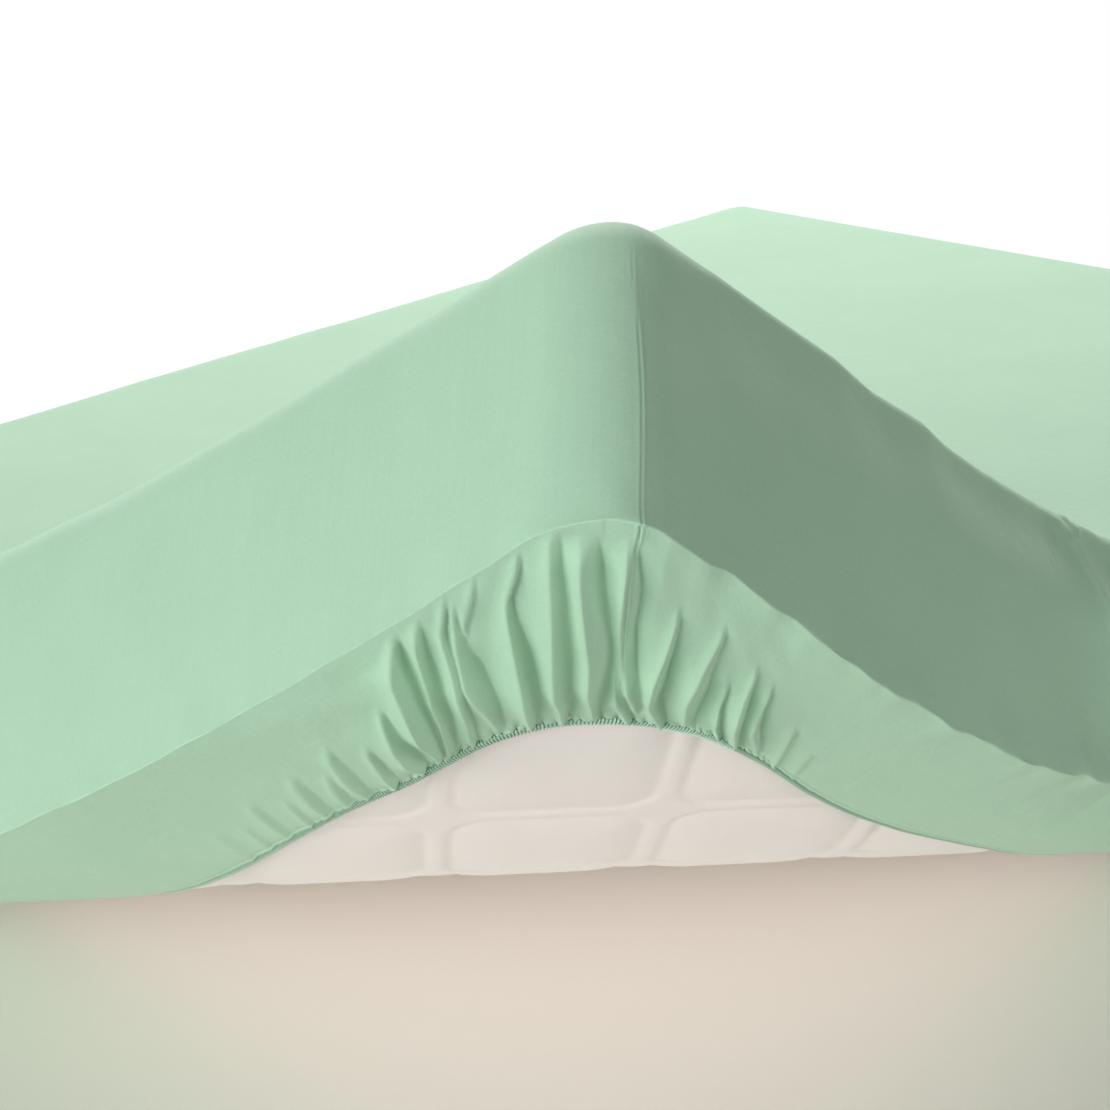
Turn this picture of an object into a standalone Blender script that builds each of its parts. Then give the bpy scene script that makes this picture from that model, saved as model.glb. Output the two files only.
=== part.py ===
"""A fitted sheet on a mattress whose near corner is bent up off the floor.

Everything is laid out as if the mattress lay flat. p runs from the lifted corner along the
short side, q along the long side and w up through the thickness. bend() then lifts the corner,
and to_world() turns p to -X and q to +Y. The origin ends up under the middle of the whole thing.
"""
import math

import bmesh
import bpy
import numpy as np

NAME = "fitted_sheet_on_mattress"

# The mattress, in metres
WIDTH = 1.40                # short side, along p
LENGTH = 2.00               # long side, along q
TOP = 0.25                  # height of its top
UNDERSIDE = 0.004           # height of its underside, which lies on the band of cloth
CORNER_RADIUS = 0.055       # seen from above
TOP_RADIUS = 0.050
BOTTOM_RADIUS = 0.020
QUILT_PITCH = 0.175         # from one sewn channel to the next, along and across the diagonal
QUILT_CHANNEL = 0.020       # between the two seams of a channel
QUILT_FIRST_ALONG = 0.065   # distance of the first channel from the lifted corner
QUILT_FIRST_ACROSS = 0.080  # offset of a channel from the diagonal
QUILT_DEPTH = 0.004

# The cloth
CLOTH = 0.002
SIDE_GAP = 0.002            # between cloth and mattress at the walls and edges
TOP_GAP = 0.0005
UNDER_GAP = 0.002
BAND_SHORT = 0.154          # cloth turned under along the short sides, near the corners
BAND_LONG = 0.129           # and along the long sides
BOW_SHORT = 0.055           # how much wider it gets towards the middle of a short side
BOW_LONG = 0.017
BOW_SHORT_START, BOW_SHORT_END = 0.12, 0.45     # places along the hem between which it widens
BOW_LONG_START, BOW_LONG_END = 0.10, 0.30
HEM_RADIUS = 0.11           # of the hem's corners, seen from below
HEM_DRAW = 0.30             # how far from a corner the elastic slants the cloth
SEAM_STEP = -2              # the column that the lifted corner's seam runs down
SEAM_RAISE = 0.0015         # how far its sewn ridge stands out

# The elastic along the hem
ELASTIC_WIDTH = 0.006
ELASTIC_THICK = 0.003
ELASTIC_GAP = 0.0005
ELASTIC_LOW = 0.0003        # its lower face above the floor

# The lifted corner
LIFT_START = 1.05           # from the corner along the diagonal: here the mattress leaves the floor
EASE_LENGTH = 0.74          # over which it turns up
EASE_ANGLE = math.radians(47.5)
TIP_CURL = 0.58             # radians per metre that the tip goes on curling
NEUTRAL = 0.20              # height of the layer that keeps its length
DRAW_ANGLE = math.radians(52)   # direction, from p towards q, in which the tip is drawn back

# Gathers of the turned-under band. The cloth stands PUFF proud at the hem, and each trough
# presses it back. hem and edge are the places of a trough's two ends, along the hem and along the
# wall's lower edge, counted from the middle of the corner, plus towards the short side. depth is
# a share of PUFF, and reach a share of the band's width, from the hem.
PUFF = 0.010
PUFF_REACH_SHORT = 0.26     # the gathered stretch of the short side, measured along the edge
PUFF_REACH_LONG = 0.24
PUFF_FADE = 0.6             # the share of that stretch over which the gathers fade out
PUFF_FALL = 1.5             # power by which they flatten towards the wall
TROUGH_NARROW = 0.6         # a trough's width at the hem, as a share of the width given
TROUGH_SPREAD = 0.8         # and how much wider it is at the wall
TROUGH_FADE = 0.3           # the share of its length over which it ends
TROUGH_COLUMNS = ("hem", "edge", "width", "depth", "reach")
TROUGHS = (
    (0.163, 0.224, 0.009, 0.50, 0.45),
    (0.128, 0.193, 0.010, 0.60, 0.70),
    (0.114, 0.157, 0.013, 0.90, 1.00),
    (0.092, 0.135, 0.010, 0.85, 1.00),
    (0.076, 0.112, 0.009, 0.90, 1.00),
    (0.054, 0.100, 0.012, 0.95, 1.00),
    (0.035, 0.061, 0.009, 0.80, 0.95),
    (0.018, 0.024, 0.009, 0.95, 0.95),
    (-0.001, 0.002, 0.009, 0.90, 0.90),
    (-0.018, -0.017, 0.009, 0.90, 0.95),
    (-0.036, -0.059, 0.010, 0.80, 0.75),
    (-0.062, -0.080, 0.009, 0.50, 0.40),
    (-0.089, -0.100, 0.011, 0.80, 0.75),
    (-0.119, -0.136, 0.010, 0.60, 0.65),
    (-0.150, -0.174, 0.011, 0.50, 0.45),
)

# Mesh steps
FINE_STEPS = 4              # columns in half of a fine corner arc
FINE_REACH = 24             # fine columns on each side of the lifted corner
CORNER_STEPS = 3            # columns in half of a plain corner arc
BENT_STEP = 0.066           # columns along the sides that bend
FLAT_STEP = 0.125           # columns along the sides that lie flat
BAND_ROWS = 6
BOTTOM_ROWS = 2
WALL_ROWS = 2
TOP_ROWS = 3
RULING_STEP = 0.07          # cuts of the top across the diagonal, where it bends
FLAT_RULING_STEP = 0.40     # and where it is flat
CROSS_STEP = 0.34           # cuts along the diagonal

MINT = (0.479, 0.745, 0.539)
IVORY = (0.80, 0.75, 0.70)
THREAD = (0.40, 0.66, 0.47)


def smooth(t):
    """Ease from 0 to 1 while t goes from 0 to 1."""
    t = np.clip(t, 0.0, 1.0)
    return t * t * (3 - 2 * t)


def bend(points):
    """Lift the near corner: rows of flat p, q, w become rows of bent p, q and height."""
    p, q, w = np.asarray(points, dtype=float).T
    steps = np.linspace(0, 1.1 * LIFT_START, 441)
    slopes = EASE_ANGLE * smooth(steps / EASE_LENGTH)
    slopes = slopes + TIP_CURL * np.clip(steps - EASE_LENGTH, 0, None)
    pace = steps[1] - steps[0]
    runs = np.append(0, np.cumsum((np.cos(slopes[1:]) + np.cos(slopes[:-1])) * pace / 2))
    rises = np.append(0, np.cumsum((np.sin(slopes[1:]) + np.sin(slopes[:-1])) * pace / 2))
    lifted = np.clip(LIFT_START - (p + q) / math.sqrt(2), 0, None)
    slope = np.interp(lifted, steps, slopes)
    above = w - NEUTRAL
    back = lifted - np.interp(lifted, steps, runs) + above * np.sin(slope)
    height = NEUTRAL + np.interp(lifted, steps, rises) + above * np.cos(slope)
    return np.stack([p + math.cos(DRAW_ANGLE) * back, q + math.sin(DRAW_ANGLE) * back, height], axis=1)


def to_world(points):
    """Bent p, q, height to X, Y, Z about the middle of the flat mattress."""
    bent = bend(points)
    return np.stack([WIDTH / 2 - bent[:, 0], bent[:, 1] - LENGTH / 2, bent[:, 2]], axis=1)


# ---------------------------------------------------------------- outlines

def corner_point(arc, inset_p, inset_q, radius):
    """A point of a rounded corner and its outward direction, arc metres from its middle."""
    turn = min(max(math.pi / 4 + arc / radius, 0), math.pi / 2)
    p = inset_p + radius * (1 - math.cos(turn))
    q = inset_q + radius * (1 - math.sin(turn))
    straight = max(abs(arc) - radius * math.pi / 4, 0)
    if arc > 0:
        p += straight
    else:
        q += straight
    return np.array([p, q]), -np.array([math.cos(turn), math.sin(turn)])


def half_side(length):
    """Distance along the outline from a corner's middle to the middle of a side."""
    return length / 2 - CORNER_RADIUS + CORNER_RADIUS * math.pi / 4


def hem_arc(arc):
    """Where the cloth that leaves the wall at arc meets the hem, along the hem."""
    far = half_side(WIDTH if arc > 0 else LENGTH)
    band = BAND_LONG if arc > 0 else BAND_SHORT
    shorter = band + (HEM_RADIUS - CORNER_RADIUS) * (1 - math.pi / 4)
    share = (1 - math.exp(-abs(arc) / HEM_DRAW)) / (1 - math.exp(-far / HEM_DRAW))
    return math.copysign(abs(arc) - shorter * share, arc)


def bow(place):
    """How much wider the band is at a place along the hem than near the corner."""
    if place > 0:
        return BOW_SHORT * smooth((place - BOW_SHORT_START) / (BOW_SHORT_END - BOW_SHORT_START))
    return BOW_LONG * smooth((-place - BOW_LONG_START) / (BOW_LONG_END - BOW_LONG_START))


def stations(fine, fine_count, end, step):
    """Places from a corner's middle to the middle of a side: fine ones, then even ones."""
    reach = fine * fine_count
    count = math.ceil((end - reach) / step)
    return list(np.arange(fine_count) * fine) + list(np.linspace(reach, end, count + 1))


def columns():
    """The columns round the mattress: arc from its corner, and whether p and q are mirrored."""
    half_arc = CORNER_RADIUS * math.pi / 4
    fine = half_arc / FINE_STEPS
    plain = half_arc / CORNER_STEPS
    short, long = half_side(WIDTH), half_side(LENGTH)
    corners = (
        (False, False, fine, FINE_REACH, BENT_STEP, BENT_STEP),
        (True, False, plain, CORNER_STEPS, BENT_STEP, FLAT_STEP),
        (True, True, plain, CORNER_STEPS, FLAT_STEP, FLAT_STEP),
        (False, True, plain, CORNER_STEPS, FLAT_STEP, BENT_STEP),
    )
    result = []
    for number, (flip_p, flip_q, width, count, short_step, long_step) in enumerate(corners):
        on_short = stations(width, count, short, short_step)
        on_long = stations(width, count, long, long_step)
        arcs = [-arc for arc in reversed(on_long)] + on_short[1:]
        if number % 2:
            arcs.reverse()
        result += [(arc, flip_p, flip_q) for arc in arcs[:-1]]
    return result


def placed(point, flip_p, flip_q):
    """A point of the near quarter moved to its own quarter."""
    p = WIDTH - point[0] if flip_p else point[0]
    q = LENGTH - point[1] if flip_q else point[1]
    return p, q


# ---------------------------------------------------------------- gathers

def puff(arc):
    """How far the gathered cloth stands off the mattress at the hem."""
    reach = PUFF_REACH_SHORT if arc > 0 else PUFF_REACH_LONG
    return PUFF * (1 - smooth((abs(arc) / reach - 1 + PUFF_FADE) / PUFF_FADE))


def fold_height(arc, hem_place, share):
    """Height of the gathers at share of the way from the hem to the wall."""
    pressed = 0.0
    for row in TROUGHS:
        trough = dict(zip(TROUGH_COLUMNS, row))
        place = arc * share + hem_place * (1 - share)
        middle = trough["edge"] * share + trough["hem"] * (1 - share)
        width = trough["width"] * (TROUGH_NARROW + TROUGH_SPREAD * share)
        fade = 1 - smooth((share / trough["reach"] - 1 + TROUGH_FADE) / TROUGH_FADE)
        pressed = max(pressed, trough["depth"] * fade * math.exp(-((place - middle) / width) ** 2))
    return puff(arc) * (1 - share ** PUFF_FALL) * (1 - pressed)


# ---------------------------------------------------------------- sections

def section(side, top, under, bottom_rows, wall_rows, top_rows):
    """Outward offset and height of a wall's rows, from its bottom edge up to the flat top."""
    rows = []
    for step in range(bottom_rows + 1):
        turn = math.pi / 2 * step / bottom_rows
        rows.append((-BOTTOM_RADIUS + (BOTTOM_RADIUS + side) * math.sin(turn),
                     UNDERSIDE + BOTTOM_RADIUS - (BOTTOM_RADIUS + under) * math.cos(turn)))
    low, high = UNDERSIDE + BOTTOM_RADIUS, TOP - TOP_RADIUS
    for step in range(1, wall_rows + 1):
        rows.append((side, low + (high - low) * step / wall_rows))
    for step in range(1, top_rows + 1):
        turn = math.pi / 2 * step / top_rows
        rows.append((-TOP_RADIUS + (TOP_RADIUS + side) * math.cos(turn),
                     high + (TOP_RADIUS + top) * math.sin(turn)))
    return rows


def wall_column(column, rows):
    """The points of one column of a wall."""
    arc, flip_p, flip_q = column
    point, outward = corner_point(arc, 0, 0, CORNER_RADIUS)
    return [(*placed(point + outward * offset, flip_p, flip_q), height) for offset, height in rows]


def hem_point(column, inward=0.0):
    """A point of the hem, and inward of it by so much."""
    arc, flip_p, flip_q = column
    place = hem_arc(arc)
    point, outward = corner_point(place, BAND_LONG, BAND_SHORT, HEM_RADIUS)
    return placed(point - outward * (bow(place) + inward), flip_p, flip_q)


def hem_height(column):
    """How far the hem stands off the mattress: only the lifted corner is gathered."""
    arc, flip_p, flip_q = column
    return 0.0 if flip_p or flip_q else fold_height(arc, hem_arc(arc), 0.0)


# ---------------------------------------------------------------- meshes

def loft(points_by_column):
    """A mesh of quads through closed rings, one ring for each row of the columns."""
    mesh = bmesh.new()
    grid = [[mesh.verts.new(point) for point in column] for column in points_by_column]
    for left, right in zip(grid, grid[1:] + grid[:1]):
        for row in range(len(left) - 1):
            mesh.faces.new((left[row], left[row + 1], right[row + 1], right[row]))
    return mesh, grid


def cut_face(mesh, face, directions):
    """Cut a flat face along lines: pairs of a direction and the distances of its lines."""
    faces = {face}
    for direction, distances in directions:
        for distance in distances:
            parts = list(faces)
            geometry = parts + list({edge for part in parts for edge in part.edges})
            geometry += list({vert for part in parts for vert in part.verts})
            cut = bmesh.ops.bisect_plane(mesh, geom=geometry, dist=1e-5,
                                         plane_co=(direction[0] * distance, direction[1] * distance, 0),
                                         plane_no=(*direction, 0))
            faces = {item for item in cut["geom"] if isinstance(item, bmesh.types.BMFace)}
    return faces


def finish_mesh(mesh, name, material, collection, highest_faces_up=True):
    """Bend a flat mesh, turn its faces outward and make it an object."""
    bmesh.ops.triangulate(mesh, faces=mesh.faces[:])
    verts = list(mesh.verts)
    for vert, place in zip(verts, to_world([vert.co[:] for vert in verts])):
        vert.co = place
    bmesh.ops.recalc_face_normals(mesh, faces=mesh.faces)
    mesh.normal_update()
    highest = max(mesh.faces, key=lambda face: face.calc_center_median().z)
    if (highest.normal.z > 0) != highest_faces_up:
        bmesh.ops.reverse_faces(mesh, faces=mesh.faces)
    data = bpy.data.meshes.new(name)
    mesh.to_mesh(data)
    mesh.free()
    data.materials.append(material)
    made = bpy.data.objects.new(name, data)
    collection.objects.link(made)
    data.shade_smooth()
    data.set_sharp_from_angle(angle=math.radians(50))
    return made


ALONG = (math.sqrt(0.5), math.sqrt(0.5))
ACROSS = (math.sqrt(0.5), -math.sqrt(0.5))


def top_cuts():
    """Lines that let the top follow the bend, and a few across them."""
    end = (WIDTH + LENGTH) * math.sqrt(0.5)
    rulings = list(np.arange(RULING_STEP, LIFT_START, RULING_STEP))
    rulings += list(np.arange(LIFT_START, end, FLAT_RULING_STEP))
    crossings = np.arange(-LENGTH * math.sqrt(0.5), WIDTH * math.sqrt(0.5), CROSS_STEP)
    return (ALONG, rulings), (ACROSS, crossings)


def quilt_lines(first, low, high):
    """The two seams of each channel, and the middle between channels."""
    start = first + QUILT_PITCH * math.floor((low - first) / QUILT_PITCH)
    lines = []
    for channel in np.arange(start, high, QUILT_PITCH):
        half = QUILT_CHANNEL / 2
        lines += [channel - half, channel + half, channel + QUILT_PITCH / 2]
    return lines


def inset(p, q):
    """Distance of a point inward from the mattress's rounded outline."""
    over_p = abs(p - WIDTH / 2) - WIDTH / 2 + CORNER_RADIUS
    over_q = abs(q - LENGTH / 2) - LENGTH / 2 + CORNER_RADIUS
    past = math.hypot(max(over_p, 0), max(over_q, 0)) + min(max(over_p, over_q), 0)
    return CORNER_RADIUS - past


def quilt_rise(p, q):
    """How far the quilted underside is drawn in at a point: most at the seams."""
    rise = 0.0
    for place, first in (((p + q) * math.sqrt(0.5), QUILT_FIRST_ALONG),
                         ((p - q) * math.sqrt(0.5), QUILT_FIRST_ACROSS)):
        from_channel = abs((place - first + QUILT_PITCH / 2) % QUILT_PITCH - QUILT_PITCH / 2)
        swell = smooth((from_channel - QUILT_CHANNEL / 2) / (QUILT_PITCH / 2 - QUILT_CHANNEL / 2))
        rise = max(rise, 1 - swell)
    return QUILT_DEPTH * rise * smooth(inset(p, q) / BOTTOM_RADIUS - 1)


def make_mattress(collection, material):
    """The plain mattress: rounded walls, a cut top and a quilted underside."""
    rows = section(0, 0, 0, BOTTOM_ROWS, WALL_ROWS, TOP_ROWS)
    mesh, grid = loft([wall_column(column, rows) for column in columns()])
    cut_face(mesh, mesh.faces.new([column[-1] for column in grid]), top_cuts())
    under = mesh.faces.new([column[0] for column in reversed(grid)])
    along = quilt_lines(QUILT_FIRST_ALONG, 0, (WIDTH + LENGTH) * math.sqrt(0.5))
    across = quilt_lines(QUILT_FIRST_ACROSS, -LENGTH * math.sqrt(0.5), WIDTH * math.sqrt(0.5))
    cut_face(mesh, under, ((ALONG, along), (ACROSS, across)))
    bmesh.ops.triangulate(mesh, faces=mesh.faces[:])
    for vert in mesh.verts:
        if vert.co.z < UNDERSIDE + 1e-6:
            vert.co.z += quilt_rise(vert.co.x, vert.co.y)
    return finish_mesh(mesh, "mattress", material, collection)


def make_sheet(collection, material):
    """The cloth: band, walls and top as one open surface, thickened outward."""
    rows = section(SIDE_GAP, TOP_GAP, UNDER_GAP, BOTTOM_ROWS, WALL_ROWS, TOP_ROWS)
    level = UNDERSIDE - UNDER_GAP
    points = []
    seam = SEAM_STEP * CORNER_RADIUS * math.pi / 4 / FINE_STEPS
    for column in columns():
        arc, flip_p, flip_q = column
        at_seam = abs(arc - seam) < 1e-6 and not flip_p and not flip_q
        raised = SEAM_RAISE if at_seam else 0.0
        wall = wall_column(column, [(offset + raised, height) for offset, height in rows])
        hem = hem_point(column)
        band = []
        for step in range(BAND_ROWS):
            share = step / BAND_ROWS
            height = 0.0 if flip_p or flip_q else fold_height(arc, hem_arc(arc), share)
            band.append((hem[0] + (wall[0][0] - hem[0]) * share,
                         hem[1] + (wall[0][1] - hem[1]) * share, level - height))
        points.append(band + wall)
    mesh, grid = loft(points)
    cut_face(mesh, mesh.faces.new([column[-1] for column in grid]), top_cuts())
    sheet = finish_mesh(mesh, "sheet", material, collection)
    thicken(sheet, CLOTH)
    return sheet


def make_elastic(collection, material):
    """The elastic: a narrow ribbon just inside the hem, as wavy as the gathers."""
    level = ELASTIC_LOW + ELASTIC_THICK
    points = []
    for column in columns():
        height = level - hem_height(column)
        points.append([(*hem_point(column, inward), height)
                       for inward in (ELASTIC_GAP + ELASTIC_WIDTH, ELASTIC_GAP + ELASTIC_WIDTH / 2, ELASTIC_GAP)])
    mesh, _ = loft(points)
    elastic = finish_mesh(mesh, "elastic_edge", material, collection, highest_faces_up=False)
    thicken(elastic, ELASTIC_THICK)
    return elastic


def thicken(thing, thickness):
    """Give an open surface its thickness on its outer side."""
    solid = thing.modifiers.new("thickness", "SOLIDIFY")
    solid.thickness = thickness
    solid.offset = 1.0
    solid.use_even_offset = False


def fabric(name, colour, roughness):
    """A plain matt material."""
    material = bpy.data.materials.new(name)
    material.use_nodes = True
    shader = material.node_tree.nodes["Principled BSDF"]
    shader.inputs["Base Color"].default_value = (*colour, 1)
    shader.inputs["Roughness"].default_value = roughness
    shader.inputs["Metallic"].default_value = 0.0
    return material


def centre_on_floor(things):
    """Put the origin under the middle of the whole thing."""
    bpy.context.view_layer.update()
    graph = bpy.context.evaluated_depsgraph_get()
    corners = []
    for thing in things:
        shape = thing.evaluated_get(graph)
        corners += [vert.co[:] for vert in shape.data.vertices]
    corners = np.array(corners)
    middle = (corners.min(axis=0) + corners.max(axis=0)) / 2
    for thing in things:
        for vert in thing.data.vertices:
            vert.co.x -= middle[0]
            vert.co.y -= middle[1]


def main():
    for old in list(bpy.data.objects):
        bpy.data.objects.remove(old)
    collection = bpy.data.collections.new(NAME)
    bpy.context.scene.collection.children.link(collection)
    things = [
        make_sheet(collection, fabric("mint_cloth", MINT, 0.85)),
        make_elastic(collection, fabric("mint_elastic", THREAD, 0.80)),
        make_mattress(collection, fabric("ivory_cover", IVORY, 0.90)),
    ]
    centre_on_floor(things)


main()
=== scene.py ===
"""Looks of a fitted sheet on a mattress whose near corner is bent up off the floor.

Everything is laid out as if the mattress lay flat. p runs from the lifted corner along the
short side, q along the long side and w up through the thickness. bend() then lifts the corner,
and to_world() places the result in the frame of the solids.
"""
import math
import random

import bmesh
import bpy
import numpy as np
from mathutils import Matrix, Vector
from mathutils.geometry import delaunay_2d_cdt


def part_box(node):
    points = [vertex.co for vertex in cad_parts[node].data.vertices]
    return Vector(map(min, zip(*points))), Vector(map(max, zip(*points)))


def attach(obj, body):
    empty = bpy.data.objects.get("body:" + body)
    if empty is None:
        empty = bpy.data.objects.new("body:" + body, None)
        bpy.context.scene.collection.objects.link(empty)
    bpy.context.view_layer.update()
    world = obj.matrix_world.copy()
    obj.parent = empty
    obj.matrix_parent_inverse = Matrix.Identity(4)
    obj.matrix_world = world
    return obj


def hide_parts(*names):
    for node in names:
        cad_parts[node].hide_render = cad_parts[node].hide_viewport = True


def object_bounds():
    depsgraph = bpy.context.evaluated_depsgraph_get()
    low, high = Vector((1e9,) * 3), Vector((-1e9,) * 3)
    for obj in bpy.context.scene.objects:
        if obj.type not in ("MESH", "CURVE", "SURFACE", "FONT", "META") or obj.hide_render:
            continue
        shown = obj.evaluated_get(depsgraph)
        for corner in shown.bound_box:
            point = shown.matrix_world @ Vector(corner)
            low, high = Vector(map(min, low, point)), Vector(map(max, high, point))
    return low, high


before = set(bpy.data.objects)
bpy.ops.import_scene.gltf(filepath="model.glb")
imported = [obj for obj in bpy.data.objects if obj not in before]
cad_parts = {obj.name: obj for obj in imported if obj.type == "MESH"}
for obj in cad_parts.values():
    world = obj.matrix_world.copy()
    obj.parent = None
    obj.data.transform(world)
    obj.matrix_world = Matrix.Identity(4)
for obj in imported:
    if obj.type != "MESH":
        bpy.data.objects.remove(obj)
cad_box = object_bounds()
scene = bpy.context.scene

# ---- sizes, in metres

WIDTH, LENGTH, TOP = 1.40, 2.00, 0.25
UNDERSIDE = 0.004
CORNER_RADIUS, TOP_RADIUS, BOTTOM_RADIUS = 0.055, 0.050, 0.020
QUILT_ALONG, QUILT_ACROSS, QUILT_CHANNEL = 0.175, 0.162, 0.020
QUILT_FIRST_ALONG, QUILT_FIRST_ACROSS = 0.065, 0.080

CLOTH = 0.002  # the solid's cloth; its outer face is the visible one
SIDE_GAP, TOP_GAP, UNDER_GAP = 0.002, 0.0005, 0.002  # from the mattress to the solid's cloth
HEM_LAYER = 0.0008  # from the band to the hem that is turned back inside it
CLEARANCE = 0.0002  # left between that hem and the mattress
FLOOR_GAP = 0.0001  # least height of any piece
BAND_SHORT, BAND_LONG = 0.154, 0.129
BOW_SHORT, BOW_LONG = 0.055, 0.017
BOW_SHORT_START, BOW_SHORT_END = 0.12, 0.45
BOW_LONG_START, BOW_LONG_END = 0.10, 0.30
HEM_RADIUS, HEM_DRAW = 0.11, 0.30

ELASTIC_WIDTH, ELASTIC_THICK = 0.006, 0.003
ELASTIC_GAP, ELASTIC_LOW = 0.0005, 0.0003
STITCH = 0.0026  # from one overlock stitch to the next
CORD_MIDDLE = ELASTIC_GAP + ELASTIC_WIDTH / 2  # from the hem inward
THREAD_RADIUS, STITCH_SLANT = 0.00055, 0.0007
STITCH_FROM, STITCH_TO = -0.105, 0.46  # places of the loops along the hem
LOOP_STEPS, LOOP_SIDES = 14, 6
LOOP_STAND = 0.8  # how far a loop's middle is off the cord, in its own radii
CORD_SIDES, CORD_WAIST = 8, 0.86  # the cord's width between two stitches, as a share
FAR_PLACE = 9.0  # stands for the hem of the other three quarters, which has no loops

LIFT_START, EASE_LENGTH = 1.05, 0.74
EASE_ANGLE = math.radians(47.5)
TIP_CURL = 0.58
NEUTRAL = 0.20
DRAW_ANGLE = math.radians(52)

PUFF_REACH_SHORT, PUFF_REACH_LONG, PUFF_FADE = 0.42, 0.26, 0.6
PUFF_HEM, PUFF_MIDDLE = 0.0040, 0.0045  # how far gathered cloth stands off the mattress

LOW_RADIUS = 0.0009  # of the crisp lower edge of the walls
# How far the cloth hangs below the mattress at that edge, at distances from the corner's middle
EDGE_DROPS = ((-0.75, 0.0), (-0.6, 0.002), (-0.5, 0.006), (-0.42, 0.011), (-0.33, 0.012), (-0.25, 0.011),
              (-0.2, 0.009), (-0.15, 0.006), (-0.09, 0.006), (-0.04, 0.009), (0.0, 0.006), (0.05, 0.004),
              (0.5, 0.004), (0.688, 0.0))
RIDGE_RADIUS = 0.020  # the crisp top edge of the long side, next to the lifted corner
RIDGE_START, RIDGE_FULL, RIDGE_FADE, RIDGE_END = 0.03, 0.12, 0.75, 0.98
# How far that edge is drawn in, at distances from the corner's middle
RIDGE_DEPTHS = ((-0.06, 0.0), (0.0, 0.002), (0.04, 0.003), (0.1, 0.0), (0.235, 0.0), (0.286, 0.0045),
                (0.345, 0.0045), (0.38, 0.0092), (0.435, 0.0122), (0.508, 0.0125), (0.56, 0.0145),
                (0.62, 0.0125), (0.8, 0.005), (0.98, 0.0))
LEAN, TOP_SLOPE = 0.09, 0.20  # how much of the wall's height and of the top's width follows it
# How far the rounded lower edge of the long side is above the plain one, and how far in it reaches
EDGE_LIFTS = ((-0.92, 0.0), (-0.7, 0.02), (-0.6, 0.02), (-0.56, 0.012), (-0.5, 0.003), (-0.45, 0.0))
LIFT_REACH = 0.09
EDGE_FALL = 1.6  # how fast the hanging edge's drop fades over the band
UNEVEN_SHORT, UNEVEN_FALL = 0.25, 0.10  # its unevenness on the short side, and its reach over the band
UNEVEN_DROP = 0.005  # drop from which it hangs fully unevenly
# How far the gathered hem is drawn up towards the corner, at distances from the corner's middle
HEM_MOVES = ((-0.9, 0.0), (-0.75, 0.008), (-0.61, 0.016), (-0.55, 0.013), (-0.487, 0.007), (-0.4, 0.0045),
             (-0.325, 0.0035), (-0.203, 0.009), (-0.134, 0.012), (-0.069, 0.0125), (0.0, 0.014),
             (0.057, 0.0155), (0.107, 0.014), (0.159, 0.011), (0.24, 0.005), (0.33, 0.01), (0.435, 0.0145),
             (0.523, 0.014), (0.65, 0.008), (0.69, 0.0))

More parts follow.
